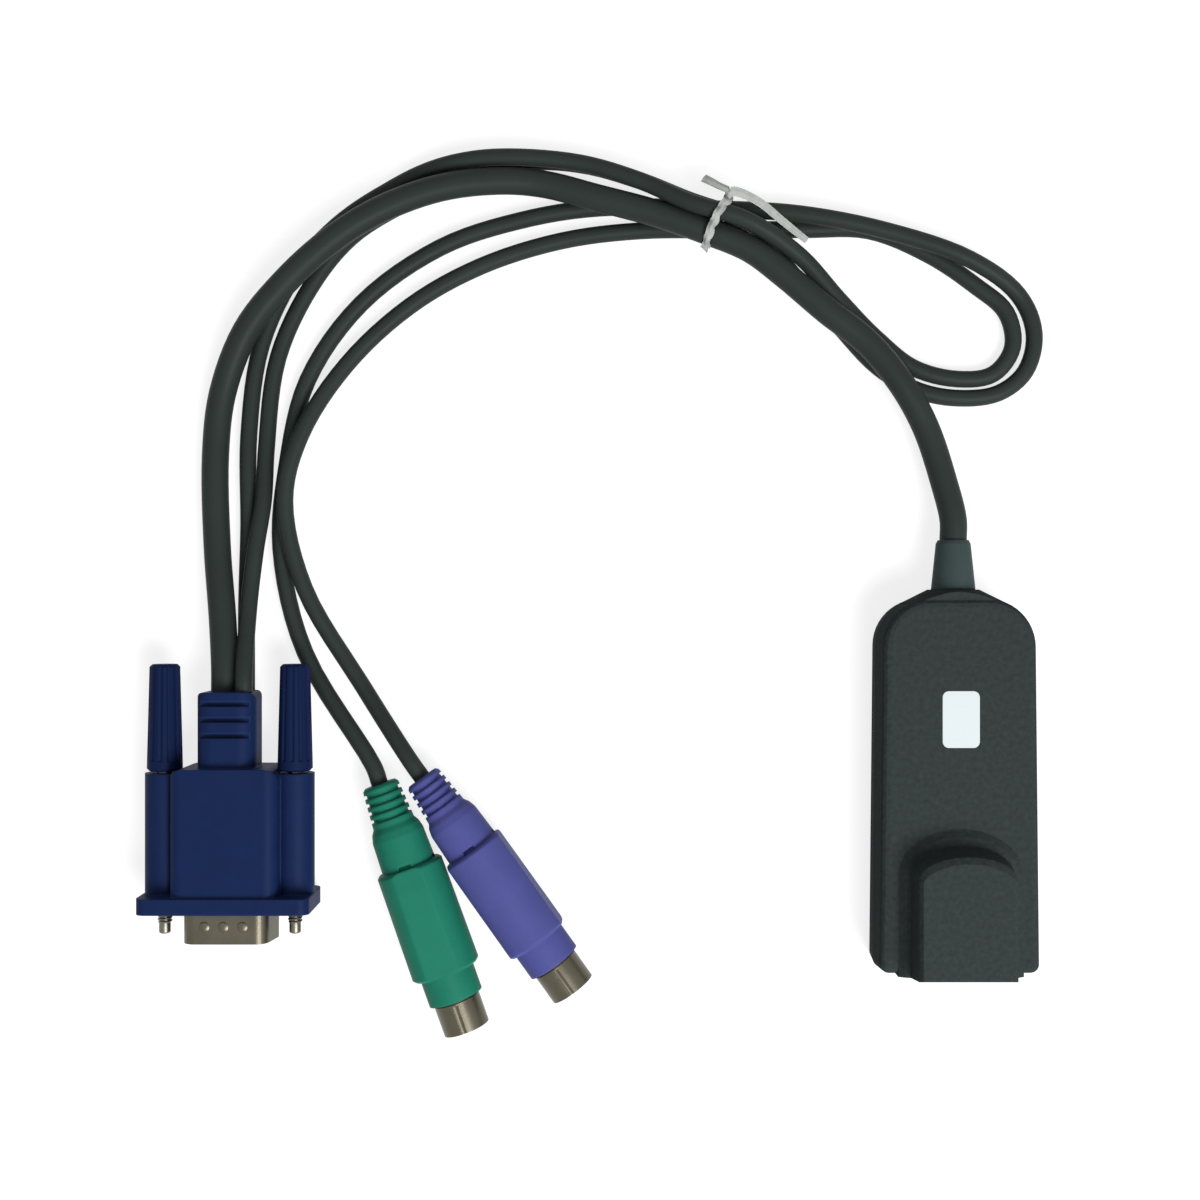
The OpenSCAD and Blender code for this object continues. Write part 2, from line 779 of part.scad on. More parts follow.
module cable_boot() {
    color("#3a3f40")
    translate([0, 0, boot_z])
        turned_y([
            [0, boot_inner - boot_flange_t], [boot_flange_r, boot_inner - boot_flange_t],
            [boot_flange_r, boot_inner], [boot_neck_r, boot_inner],
            [boot_neck_r, half_l], [boot_foot_r, half_l],
            [boot_tip_r, half_l + boot_l - boot_chamfer],
            [main_r + boot_chamfer / 2, half_l + boot_l], [0, half_l + boot_l]
        ]);
}

// Cables.

module main_cable() {
    color("#30363a")
    cable(main_route, main_r, main_steps, main_side_count);
}

module keyboard_lead() {
    color("#30363a")
    cable(keyboard_route, lead_r, lead_steps, side_count);
}

module mouse_lead() {
    color("#30363a")
    cable(mouse_route, lead_r, lead_steps, side_count);
}

// The tie round the bundle: circles of the band's inside, as distance across
// the bundle, height and radius, and the lines of its two ends, chosen by hand.
tie_place = [-45.6, 107, 0];
tie_turn = -27;
tie_circles = [[-2.05, 6.7, 2.75], [1.6, 10.1, 1.8], [4.4, 2.8, 1.95], [-0.75, 2.35, 1.65]];
knot_start = [-43.75, 111.25, 8.1];
knot_tilt = 72;
knot_turn = 63;
knot_l = 2.7;
knot_w = 1.3;
short_end = [
    [-42.75, 113, 8.7], [-44, 114.2, 8.7], [-46, 115.2, 8.3], [-48.25, 115.75, 7.5]
];
long_end = [
    [-42.75, 113.2, 8.8], [-40.5, 112.8, 8.4], [-37, 110.6, 7.5], [-33, 107.75, 6.1],
    [-30, 105.9, 4.4], [-27.75, 104.6, 3]
];

module tie_end(points) {
    n = len(points);
    half = tie_w / 2.4;
    sweep(
        points,
        unit(points[1] - points[0]),
        unit(points[n - 1] - points[n - 2]),
        [[-half, -tie_t / 2], [half, -tie_t / 2], [half, tie_t / 2], [-half, tie_t / 2]]
    );
}

module tie_loop(extra) {
    hull()
        for (c = tie_circles)
            translate([c[0], c[1]])
                circle(c[2] + tie_gap + extra);
}

module twist_tie() {
    color("#d9dcda")
    union() {
        translate(tie_place)
            rotate([90, 0, 90 + tie_turn])
                translate([0, 0, -tie_w / 2])
                    linear_extrude(tie_w)
                        difference() {
                            tie_loop(tie_t);
                            tie_loop(0);
                        }
        translate(knot_start)
            rotate([0, knot_tilt, knot_turn])
                cylinder(h = knot_l, r = knot_w / 2);
        tie_end(short_end);
        tie_end(long_end);
    }
}

// Video plug.

module vga_place() {
    translate([-vga_x, 0, axis_z])
        children();
}

module screw_places() {
    for (x = [-screw_x, screw_x])
        translate([x, 0, 0])
            children();
}

// The D-shaped outline, wide side down, drawn out by some distance.
module dee(extra) {
    lift = dee_h / 2 - dee_r;
    hull()
        for (x = [-1, 1]) {
            translate([x * (dee_arm + dee_shift), -lift])
                circle(dee_r + extra);
            translate([x * (dee_arm - dee_shift), lift])
                circle(dee_r + extra);
        }
}

slot_margin = 2.2;
slot_count = 3;

module relief_slots() {
    for (i = [0 : slot_count - 1])
        for (z = [-1, 1])
            translate([0, relief_back - slot_margin - i * slot_pitch, z * relief_h / 2])
                cube([slot_l, slot_w, 2 * slot_d], center = true);
}

module video_plug_hood() {
    color("#232a62")
    vga_place()
        difference() {
            union() {
                along_y(flange_front, flange_back)
                    round_rect(flange_w, flange_h, flange_r);
                intersection() {
                    along_y(flange_front, hood_back)
                        round_rect(hood_w, hood_h, hood_r);
                    translate([0, (flange_front + hood_back) / 2 - hood_r, -hood_h])
                        linear_extrude(2 * hood_h)
                            round_rect(hood_w, hood_back - flange_front + 2 * hood_r, hood_r);
                }
                screw_places()
                    bar_y(0, 0, flange_front, channel_back, channel_r);
                intersection() {
                    along_y(hood_back - hood_r, relief_back)
                        round_rect(relief_w, relief_h, relief_r);
                    translate([0, relief_back - hood_l / 2, -relief_h])
                        linear_extrude(2 * relief_h)
                            round_rect(relief_w, hood_l, relief_end_r);
                }
            }
            along_y(flange_front - overrun, flange_front + plate_t)
                round_rect(plate_w, plate_h, plate_r);
            along_y(flange_front - overrun, flange_back)
                dee(0);
            screw_places()
                bar_y(0, 0, flange_front - overrun, channel_back + overrun, screw_hole_r);
            relief_slots();
        }
}

module video_plug_shell() {
    color("#c9ccd0")
    vga_place()
        difference() {
            union() {
                along_y(flange_front, flange_front + plate_t)
                    round_rect(plate_w, plate_h, plate_r);
                along_y(flange_front - dee_l, flange_front + plate_t)
                    dee(dee_t);
            }
            along_y(flange_front - dee_l - overrun, flange_back + overrun)
                dee(0);
            screw_places()
                bar_y(0, 0, flange_front - overrun, flange_back, screw_hole_r);
        }
}

module video_plug_insert() {
    color("#17181b")
    vga_place()
        along_y(insert_front, flange_back)
            dee(0);
}

pin_tip = 0.5;

module contact_pin(r, l, tip) {
    rotate([90, 0, 0]) {
        cylinder(h = l - tip, r = r);
        translate([0, 0, l - tip])
            cylinder(h = tip, r1 = r, r2 = r / 2);
    }
}

module video_plug_pins() {
    color("#d9b45a")
    vga_place()
        for (row = [-1, 0, 1])
            for (i = [0 : 4])
                translate([
                    (i - 2) * pin_pitch + (row == 0 ? -1 : 1) * pin_pitch / 4,
                    insert_front,
                    row * row_pitch
                ])
                    contact_pin(pin_r, pin_l, pin_tip);
}

// A thumbscrew's knob: a slim cone with grooves along it and a slot in its end.
knob_groove_r = 0.5;
knob_groove_in = 0.3;
knob_edge = 0.5;
knob_slot_w = 0.9;
knob_slot_d = 0.9;
knob_lead = 2;

module thumb_knob() {
    taper = atan((knob_r - knob_tip_r) / knob_l);
    difference() {
        turned_y([
            [screw_r, knob_y], [knob_r - knob_edge, knob_y], [knob_r, knob_y + knob_edge],
            [knob_tip_r, knob_y + knob_l - knob_edge], [knob_tip_r - knob_edge, knob_y + knob_l],
            [0, knob_y + knob_l], [0, screw_back], [screw_r, screw_back]
        ]);
        for (i = [0 : knob_grooves - 1])
            rotate([0, i * 360 / knob_grooves, 0])
                translate([knob_r + knob_groove_r - knob_groove_in, knob_y + knob_lead, 0])
                    rotate([-90, 0, taper])
                        cylinder(h = knob_l, r = knob_groove_r, $fn = 16);
        translate([-knob_r, knob_y + knob_l - knob_slot_d, -knob_slot_w / 2])
            cube([2 * knob_r, knob_slot_d + overrun, knob_slot_w]);
    }
}

// The steel screw: a plain point, the thread and a thinner shank that ends in the knob.
point_edge = 0.4;

module jack_screw() {
    turned_y([
        [0, point_front], [point_r - point_edge, point_front], [point_r, point_front + point_edge],
        [point_r, thread_front], [tip_r, thread_front], [tip_r, thread_back],
        [screw_r, thread_back], [screw_r, screw_back], [0, screw_back]
    ]);
}

module left_thumb_knob() {
    color("#232a62")
    vga_place()
        translate([-screw_x, 0, 0])
            thumb_knob();
}

module left_jack_screw() {
    color("#b9bcc0")
    vga_place()
        translate([-screw_x, 0, 0])
            jack_screw();
}

module right_thumb_knob() {
    color("#232a62")
    vga_place()
        translate([screw_x, 0, 0])
            thumb_knob();
}

module right_jack_screw() {
    color("#b9bcc0")
    vga_place()
        translate([screw_x, 0, 0])
            jack_screw();
}

// Round plugs. Each is drawn along Y with its cable end at zero.

keyboard_end = [-102.25, 0.35];
mouse_end = [-110.5, -1];

module plug_place(end, height, yaw) {
    translate([end[0], end[1], height])
        rotate([0, 0, yaw])
            children();
}

tail_groove_count = 4;
tail_groove_w = 0.8;
tail_groove_d = 0.5;
tail_groove_pitch = tail_l / 5;
neck_round = 2.4;
seam_step = 0.5;
notch_w = 2.3;
notch_l = 0.8;
notch_d = 0.6;

// Radius of the strain relief at some distance from where the cable enters.
function tail_at(y) = tail_end_r + (tail_r - tail_end_r) * y / tail_l;

// The grooves round the strain relief, each as four corners of the outline.
tail_outline = [
    for (i = [tail_groove_count : -1 : 1])
        let (far = i * tail_groove_pitch + tail_groove_w / 2)
        let (near = far - tail_groove_w)
        each [
            [tail_at(far), -far], [tail_at(far) - tail_groove_d, -far],
            [tail_at(near) - tail_groove_d, -near], [tail_at(near), -near]
        ]
];

// The moulded body; its barrel has two flat sides, turned by some angle.
module round_plug_body(flat_turn) {
    difference() {
        union() {
            turned_y(concat(
                [
                    [0, 0], [0, collar_front], [collar_r, collar_front], [collar_r, barrel_front],
                    [neck_r, barrel_front], [neck_r, neck_front],
                    [neck_r - neck_round / 12, tail_front - neck_round],
                    [(tail_r + neck_r) / 2, tail_front - neck_round / 2.5],
                    [tail_r, tail_front]
                ],
                tail_outline,
                [[tail_end_r, -tail_groove_d], [tail_end_r - tail_groove_d, 0]]
            ));
            rotate([0, flat_turn, 0])
                intersection() {
                    turned_y([
                        [0, barrel_front], [barrel_r - seam_step, barrel_front],
                        [barrel_r, barrel_front + seam_step], [barrel_back_r, neck_front - seam_step],
                        [barrel_back_r - seam_step, neck_front], [0, neck_front]
                    ]);
                    translate([-2 * barrel_r, 2 * barrel_front, -barrel_flat / 2])
                        cube([4 * barrel_r, -2 * barrel_front, barrel_flat]);
                }
        }
        for (a = [0 : 90 : 270])
            rotate([0, a, 0])
                translate([0, neck_front + notch_l / 2, neck_r])
                    cube([notch_w, notch_l, 2 * notch_d], center = true);
        bar_y(0, 0, collar_front - overrun, sleeve_back, sleeve_root_r);
    }
}

dent_r = 0.9;
dent_d = 0.2;

module round_plug_sleeve() {
    difference() {
        union() {
            bar_y(0, 0, sleeve_front, collar_front - sleeve_root_l, sleeve_r);
            bar_y(0, 0, sleeve_front, sleeve_back, sleeve_root_r);
        }
        bar_y(0, 0, sleeve_front - overrun, sleeve_back + overrun, sleeve_bore);
        for (a = [90, -20, 200])
            translate([(sleeve_r + dent_r - dent_d) * cos(a), 0, (sleeve_r + dent_r - dent_d) * sin(a)])
                bar_y(0, 0, sleeve_front - overrun, collar_front - notch_l, dent_r);
    }
}

key_w = 2.2;
key_h = 1;
key_drop = 0.25 * sleeve_r;

module round_plug_insert() {
    bar_y(0, 0, din_insert_front, sleeve_back, sleeve_bore);
    translate([-key_w / 2, sleeve_front + sleeve_t, -key_drop - key_h / 2])
        cube([key_w, din_insert_front - sleeve_front, key_h]);
}

module round_plug_pins() {
    for (a = [35, 90, 145])
        for (x = [-1, 1])
            translate([x * din_pin_circle * sin(a), din_insert_front, din_pin_circle * cos(a)])
                contact_pin(din_pin_r, din_pin_l, pin_tip);
}

module keyboard_plug_body() {
    color("#5c54a5")
    plug_place(keyboard_end, keyboard_z, keyboard_yaw)
        round_plug_body(90);
}

module keyboard_plug_sleeve() {
    color("#c9ccd0")
    plug_place(keyboard_end, keyboard_z, keyboard_yaw)
        round_plug_sleeve();
}

module keyboard_plug_insert() {
    color("#17181b")
    plug_place(keyboard_end, keyboard_z, keyboard_yaw)
        round_plug_insert();
}

module keyboard_plug_pins() {
    color("#c9ccd0")
    plug_place(keyboard_end, keyboard_z, keyboard_yaw)
        round_plug_pins();
}

module mouse_plug_body() {
    color("#268c6e")
    plug_place(mouse_end, mouse_z, mouse_yaw)
        round_plug_body(0);
}

module mouse_plug_sleeve() {
    color("#c9ccd0")
    plug_place(mouse_end, mouse_z, mouse_yaw)
        round_plug_sleeve();
}

module mouse_plug_insert() {
    color("#17181b")
    plug_place(mouse_end, mouse_z, mouse_yaw)
        round_plug_insert();
}

module mouse_plug_pins() {
    color("#c9ccd0")
    plug_place(mouse_end, mouse_z, mouse_yaw)
        round_plug_pins();
}

module_bottom_shell();
module_top_shell();
blank_badge();
circuit_board();
network_socket();
network_socket_contacts();
board_chips();
board_cable_header();
case_screws();
cable_boot();
main_cable();
keyboard_lead();
mouse_lead();
twist_tie();
video_plug_hood();
video_plug_shell();
video_plug_insert();
video_plug_pins();
left_thumb_knob();
left_jack_screw();
right_thumb_knob();
right_jack_screw();
keyboard_plug_body();
keyboard_plug_sleeve();
keyboard_plug_insert();
keyboard_plug_pins();
mouse_plug_body();
mouse_plug_sleeve();
mouse_plug_insert();
mouse_plug_pins();
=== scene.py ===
import bpy
import bmesh
import math
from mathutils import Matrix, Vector


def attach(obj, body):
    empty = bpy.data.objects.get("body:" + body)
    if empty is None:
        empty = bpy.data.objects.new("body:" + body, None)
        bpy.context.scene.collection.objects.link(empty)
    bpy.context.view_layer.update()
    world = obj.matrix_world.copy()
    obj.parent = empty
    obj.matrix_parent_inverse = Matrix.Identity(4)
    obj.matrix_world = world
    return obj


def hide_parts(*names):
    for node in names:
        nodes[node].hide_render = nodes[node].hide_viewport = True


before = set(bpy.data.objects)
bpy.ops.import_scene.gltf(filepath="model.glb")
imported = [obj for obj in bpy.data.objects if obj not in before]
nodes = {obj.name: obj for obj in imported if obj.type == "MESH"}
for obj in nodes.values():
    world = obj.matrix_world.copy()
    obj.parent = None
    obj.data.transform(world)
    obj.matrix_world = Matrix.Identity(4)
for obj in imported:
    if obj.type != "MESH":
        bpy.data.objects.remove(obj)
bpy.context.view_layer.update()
scene = bpy.context.scene
MM = 0.001
ROOT = "cable_assembly"

# Camera: straight down on the table from 300 mm, as in the photograph.
CAMERA_PLACE = (-0.068, 0.0345, 0.300)
CAMERA_LENS = 45.72
CAMERA_SENSOR = 36
CAMERA_NEAREST = 0.01
cam_data = bpy.data.cameras.new("camera")
cam_data.sensor_width = CAMERA_SENSOR
cam_data.lens = CAMERA_LENS
cam_data.clip_start = CAMERA_NEAREST
cam = bpy.data.objects.new("camera", cam_data)
cam.location = CAMERA_PLACE
cam.rotation_euler = (0, 0, 0)
scene.collection.objects.link(cam)
scene.camera = cam
scene.view_settings.view_transform = "Standard"


# Materials.

BEVEL_SAMPLES = 6
GRAIN_RELIEF = 0.1 * MM
TINT_DETAIL = 4
GRAIN_DETAIL = 2
# How far the rounded normal leaves the plain one where the wear and painted edge highlight start and
# where they are full, as cosines.
WEAR_AND_SHEEN_STARTS = 0.995
WEAR_AND_SHEEN_FULL = 0.85
WEAR_AND_SHEEN_GAIN = 1.9
WEAR_AND_SHEEN_LIFT = 0.01


def srgb(r, g, b):
    """A linear colour from the levels 0 to 255 that a screen shows."""
    return tuple(((v / 255 + 0.055) / 1.055) ** 2.4 if v > 10 else v / 255 / 12.92 for v in (r, g, b))


def noise(tree, coord, scale, detail):
    """A noise that keeps its place on the piece."""
    texture = tree.nodes.new("ShaderNodeTexNoise")
    texture.inputs["Scale"].default_value = scale
    texture.inputs["Detail"].default_value = detail
    tree.links.new(coord.outputs["Object"], texture.inputs["Vector"])
    return texture.outputs["Fac"]


def worn_and_highlit_edges(tree, surface, normal, color, wear_and_sheen):
    """The surface's colour, made lighter where its normal is rounded off, partly as wear and partly as a
    painted edge highlight.
    """
    plain = tree.nodes.new("ShaderNodeNewGeometry")
    both = tree.nodes.new("ShaderNodeVectorMath")
    both.operation = "DOT_PRODUCT"
    tree.links.new(normal, both.inputs[0])
    tree.links.new(plain.outputs["Normal"], both.inputs[1])
    rim = tree.nodes.new("ShaderNodeMapRange")
    rim.inputs["From Min"].default_value = WEAR_AND_SHEEN_STARTS
    rim.inputs["From Max"].default_value = WEAR_AND_SHEEN_FULL
    rim.inputs["To Max"].default_value = wear_and_sheen
    tree.links.new(both.outputs["Value"], rim.inputs["Value"])
    # Rounded edges get a lighter colour: wear and a painted highlight.
    worn_and_highlit = tree.nodes.new("ShaderNodeMix")
    worn_and_highlit.data_type = "RGBA"
    worn_and_highlit.inputs["B"].default_value = (*[min(1.0, c * WEAR_AND_SHEEN_GAIN + WEAR_AND_SHEEN_LIFT) for c in color], 1)
    tree.links.new(rim.outputs["Result"], worn_and_highlit.inputs["Factor"])
    tree.links.new(surface, worn_and_highlit.inputs["A"])
    return worn_and_highlit.outputs["Result"]


def material(name, color, rough, metallic=0.0, grain=0.0, grain_size=3000.0, tint=0.06,
             tint_size=120.0, specular=0.3, edge=0.0, wear_and_sheen=0.0, rough_drift=0.06):
    """A surface whose colour and gloss drift a little; grain is a fine relief, edge rounds what
    is sharp by that many millimetres, and wear_and_sheen lightens those edges, partly as wear and partly
    as a painted highlight."""
    mat = bpy.data.materials.new(name)
    mat.use_nodes = True
    tree = mat.node_tree
    bsdf = tree.nodes["Principled BSDF"]
    bsdf.inputs["Metallic"].default_value = metallic
    bsdf.inputs["Specular IOR Level"].default_value = specular
    coord = tree.nodes.new("ShaderNodeTexCoord")
    drift = noise(tree, coord, tint_size, TINT_DETAIL)
    mix = tree.nodes.new("ShaderNodeMix")
    mix.data_type = "RGBA"
    mix.inputs["A"].default_value = (*[c * (1 - tint) for c in color], 1)
    mix.inputs["B"].default_value = (*[min(1.0, c * (1 + tint)) for c in color], 1)
    tree.links.new(drift, mix.inputs["Factor"])
    surface = mix.outputs["Result"]
    gloss = tree.nodes.new("ShaderNodeMapRange")
    gloss.inputs["To Min"].default_value = max(0.0, rough - rough_drift)
    gloss.inputs["To Max"].default_value = min(1.0, rough + rough_drift)
    tree.links.new(drift, gloss.inputs["Value"])
    tree.links.new(gloss.outputs["Result"], bsdf.inputs["Roughness"])
    normal = None
    if edge > 0:
        round_off = tree.nodes.new("ShaderNodeBevel")
        round_off.samples = BEVEL_SAMPLES
        round_off.inputs["Radius"].default_value = edge * MM
        normal = round_off.outputs["Normal"]
    # Lighter rounded edges: partly wear, partly a painted highlight.
    if wear_and_sheen > 0:
        surface = worn_and_highlit_edges(tree, surface, normal, color, wear_and_sheen)
    tree.links.new(surface, bsdf.inputs["Base Color"])
    if grain > 0:
        bump = tree.nodes.new("ShaderNodeBump")
        bump.inputs["Strength"].default_value = grain
        bump.inputs["Distance"].default_value = GRAIN_RELIEF
        tree.links.new(noise(tree, coord, grain_size, GRAIN_DETAIL), bump.inputs["Height"])
        if normal is not None:
            tree.links.new(normal, bump.inputs["Normal"])
        normal = bump.outputs["Normal"]
    if normal is not None:
        tree.links.new(normal, bsdf.inputs["Normal"])
    return mat


# The case's rounded edges carry a slight painted highlight along with the wear.
CASE = material("case_plastic", srgb(54, 61, 60), 0.72, grain=1.0, grain_size=1500, tint=0.36,
                tint_size=1000, specular=0.012, edge=0.4, wear_and_sheen=0.2)
BADGE = material("badge", srgb(219, 228, 230), 0.35, grain=0.06, edge=0.15, tint=0.02, specular=0.15)
BOARD = material("board", srgb(26, 92, 52), 0.45)
SOCKET = material("socket_plastic", srgb(24, 24, 26), 0.5, grain=0.1, edge=0.15, specular=0.1)
GOLD = material("gold_contact", srgb(166, 135, 71), 0.28, metallic=1.0)
CHIP = material("chip", srgb(22, 22, 24), 0.5, specular=0.1)
HEADER = material("header_plastic", srgb(214, 208, 194), 0.5)
STEEL = material("screw_steel", srgb(112, 109, 102), 0.36, metallic=1.0, grain=0.05, edge=0.1)
BOOT = material("boot_rubber", srgb(60, 73, 73), 0.55, grain=0.4, grain_size=2600, tint=0.12,
                specular=0.08, edge=0.3)
JACKET = material("cable_jacket", srgb(46, 53, 50), 0.46, grain=0.25, grain_size=1500, tint=0.2,
                  tint_size=70, specular=0.08, rough_drift=0.1)
TIE = material("tie_paper", srgb(180, 183, 179), 0.45, grain=0.3, grain_size=2400, tint=0.24,
               tint_size=900, specular=0.12)
# The video plug's rounded edges carry a strong painted highlight along with the wear.
BLUE = material("video_plug_plastic", srgb(22, 38, 78), 0.5, grain=0.4, grain_size=2600, tint=0.14,
                tint_size=260, specular=0.06, edge=0.6, wear_and_sheen=0.6)
NICKEL = material("nickel", srgb(92, 88, 76), 0.34, metallic=1.0, grain=0.1, edge=0.15, tint=0.16,
                  tint_size=300)
INSERT = material("insert_plastic", srgb(18, 19, 24), 0.5, specular=0.1)
KNOB = material("knob_plastic", srgb(18, 32, 68), 0.5, grain=0.3, grain_size=2600, tint=0.12,
                specular=0.05, edge=0.3)
PURPLE = material("keyboard_plastic", srgb(81, 85, 150), 0.5, grain=0.4, grain_size=2600, tint=0.12,
                  tint_size=200, specular=0.08, edge=0.7)
GREEN = material("mouse_plastic", srgb(33, 121, 98), 0.5, grain=0.4, grain_size=2600, tint=0.14,
                 tint_size=200, specular=0.08, edge=0.7)


def dress(obj, mat):
    """Gives a piece its material."""
    obj.data.materials.clear()
    obj.data.materials.append(mat)


# The pieces that are shown as they come from the CAD.

CAD_SHARP_ANGLE = math.radians(34)
NODE_LOOKS = {
    "module_bottom_shell": (CASE, "case_plastic"), "module_top_shell": (CASE, "case_plastic"),
    "blank_badge": (BADGE, "badge"), "circuit_board": (BOARD, "board"),
    "network_socket": (SOCKET, "socket_plastic"), "network_socket_contacts": (GOLD, "gold_contact"),
    "board_chips": (CHIP, "chip"), "board_cable_header": (HEADER, "header_plastic"),
    "case_screws": (STEEL, "screw_steel"), "cable_boot": (BOOT, "boot_rubber"),
    "video_plug_hood": (BLUE, "video_plug_plastic"), "video_plug_shell": (NICKEL, "nickel"),
    "video_plug_insert": (INSERT, "insert_plastic"), "video_plug_pins": (GOLD, "gold_contact"),
    "left_thumb_knob": (KNOB, "knob_plastic"), "right_thumb_knob": (KNOB, "knob_plastic"),
    "keyboard_plug_body": (PURPLE, "keyboard_plastic"), "keyboard_plug_sleeve": (NICKEL, "nickel"),
    "keyboard_plug_insert": (INSERT, "insert_plastic"), "keyboard_plug_pins": (NICKEL, "nickel"),
    "mouse_plug_body": (GREEN, "mouse_plastic"), "mouse_plug_sleeve": (NICKEL, "nickel"),
    "mouse_plug_insert": (INSERT, "insert_plastic"), "mouse_plug_pins": (NICKEL, "nickel"),
}
for name, (mat, slot) in NODE_LOOKS.items():
    dress(nodes[name], mat)
    nodes[name].data.set_sharp_from_angle(angle=CAD_SHARP_ANGLE)


# Pieces that are built here.

OWN_SHARP_ANGLE = math.radians(40)


def mesh_piece(name, points, faces, mat, slot, body, *replaced):
    """A piece from its points in millimetres and its faces, riding on a body."""
    data = bpy.data.meshes.new(name)
    data.from_pydata([[v * MM for v in q] for q in points], [], faces)
    data.validate()
    bm = bmesh.new()
    bm.from_mesh(data)
    bmesh.ops.recalc_face_normals(bm, faces=bm.faces)
    bm.to_mesh(data)
    bm.free()
    data.shade_smooth()
    data.set_sharp_from_angle(angle=OWN_SHARP_ANGLE)
    obj = bpy.data.objects.new(name, data)
    scene.collection.objects.link(obj)
    dress(obj, mat)
    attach(obj, body)
    if replaced:
        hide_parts(*replaced)
    return obj


def tube_faces(rings, sides):
    """The faces of a closed tube of rings with the same number of points each."""
    faces = []
    for i in range(rings - 1):
        for k in range(sides):
            after = (k + 1) % sides
            faces.append((i * sides + k, i * sides + after, (i + 1) * sides + after, (i + 1) * sides + k))
    first = tuple(range(sides - 1, -1, -1))
    last = tuple((rings - 1) * sides + k for k in range(sides))
    return faces + [first, last]


# The two jack screws: a rounded point, the thread and the plain shank, along Y in millimetres.

SCREW_Z = 7.5
SCREW_SIDES = 32
POINT_FRONT = -29.4
POINT_RADIUS = 1.1
POINT_ROUNDING = 0.4
POINT_STATIONS = (0, 0.12, 0.25, 0.4)
THREAD_FRONT = -27.3
THREAD_BACK = -24.9
THREAD_PITCH = 0.635
THREAD_ROOT = 1.16
THREAD_HEIGHT = 0.26
THREAD_STEEPNESS = 1.15
THREAD_FULLNESS = 0.8
THREAD_STEP = 0.04
THREAD_STATIONS = 61
RUN_OUT = 0.25
RUN_OUT_LEAST = 0.25
SHANK_BACK = 8.6
SHANK_RADIUS = 1.2
HAIR = 0.001


def screw_radius(y, turn):
    """The radius of a jack screw at one place along it, at a part of a turn round it."""
    if y < THREAD_FRONT:
        short = max(0.0, 1 - (y - POINT_FRONT) / POINT_ROUNDING)
        return POINT_RADIUS - POINT_ROUNDING * (1 - math.sqrt(1 - short ** 2))
    if y > THREAD_BACK:
        return SHANK_RADIUS
    phase = ((y - THREAD_FRONT) / THREAD_PITCH + turn) % 1
    crest = max(0.0, 1 - abs(2 * phase - 1) * THREAD_STEEPNESS) ** THREAD_FULLNESS
    ends = min(1.0, (y - THREAD_FRONT) / RUN_OUT, (THREAD_BACK - y) / RUN_OUT)
    return THREAD_ROOT + THREAD_HEIGHT * crest * max(RUN_OUT_LEAST, ends)


def jack_screw(name, x, body, node):
    """A threaded screw in the place of a plain shaft from the CAD."""
    stations = [POINT_FRONT + d for d in POINT_STATIONS] + [THREAD_FRONT - HAIR]
    stations += [THREAD_FRONT + THREAD_STEP * i for i in range(THREAD_STATIONS)]
    stations += [THREAD_BACK + HAIR, SHANK_BACK]
    points = []
    for y in stations:
        for k in range(SCREW_SIDES):
            turn = k / SCREW_SIDES
            r = screw_radius(y, turn)
            a = 2 * math.pi * turn
            points.append((x + r * math.cos(a), y, SCREW_Z + r * math.sin(a)))
    faces = tube_faces(len(stations), SCREW_SIDES)
    return mesh_piece(name, points, faces, STEEL, "screw_steel", body, node)


left_screw = jack_screw("left_threaded_screw", -151.5, "left_thumbscrew", "left_jack_screw")
right_screw = jack_screw("right_threaded_screw", -126.5, "right_thumbscrew", "right_jack_screw")


# Small round dimples pressed out of the two long sides of the D-shaped shell.

DIMPLE_SIDES = 20
DIMPLE_X = (-142.8, -139.2, -135.6)
DIMPLE_Y = -27.3
# The height of each long side, and the way out of it.
SHELL_FACES = ((12.14, 1), (2.86, -1))
# Radius and height above the side, from the rim to the top.
DIMPLE_RINGS = ((1.15, -0.05), (1.05, 0.0), (0.86, 0.11), (0.6, 0.2), (0.3, 0.25))


def shell_dimples():
    """All six dimples as one piece."""
    points = []
    faces = []
    one = tube_faces(len(DIMPLE_RINGS), DIMPLE_SIDES)
    for x in DIMPLE_X:
        for z, out in SHELL_FACES:
            start = len(points)
            for r, height in DIMPLE_RINGS:
                for k in range(DIMPLE_SIDES):
                    a = 2 * math.pi * k / DIMPLE_SIDES
                    points.append((x + r * math.cos(a), DIMPLE_Y + r * math.sin(a), z + out * height))
            faces += [tuple(start + v for v in f) for f in one]
    return mesh_piece("video_plug_dimples", points, faces, NICKEL, "nickel", ROOT)


dimples = shell_dimples()


# The twist tie: one flat strand with a wire in its middle, laid round the bundle, twisted
# together with itself and ending in a short and a long tail. All in millimetres.

TIE_AT = Vector((-45.6, 107, 0))
TIE_TURN = math.radians(63)
# In the tie's own plane: the cables that it holds, as across, up and radius, the middle of its
# loop and the place that the knot stands on.
TIE_CIRCLES = [(-2.05, 6.7, 2.75), (1.6, 10.1, 1.8), (4.4, 2.8, 1.95), (-0.75, 2.35, 1.65)]
LOOP_MIDDLE = Vector((1.2, 5.6))
LOOP_START = (4.63, 8.1)
LOOP_GAP = 0.48
LOOP_LOWEST = 0.47
LOOP_STEP = 0.7
CIRCLE_DOTS = 64
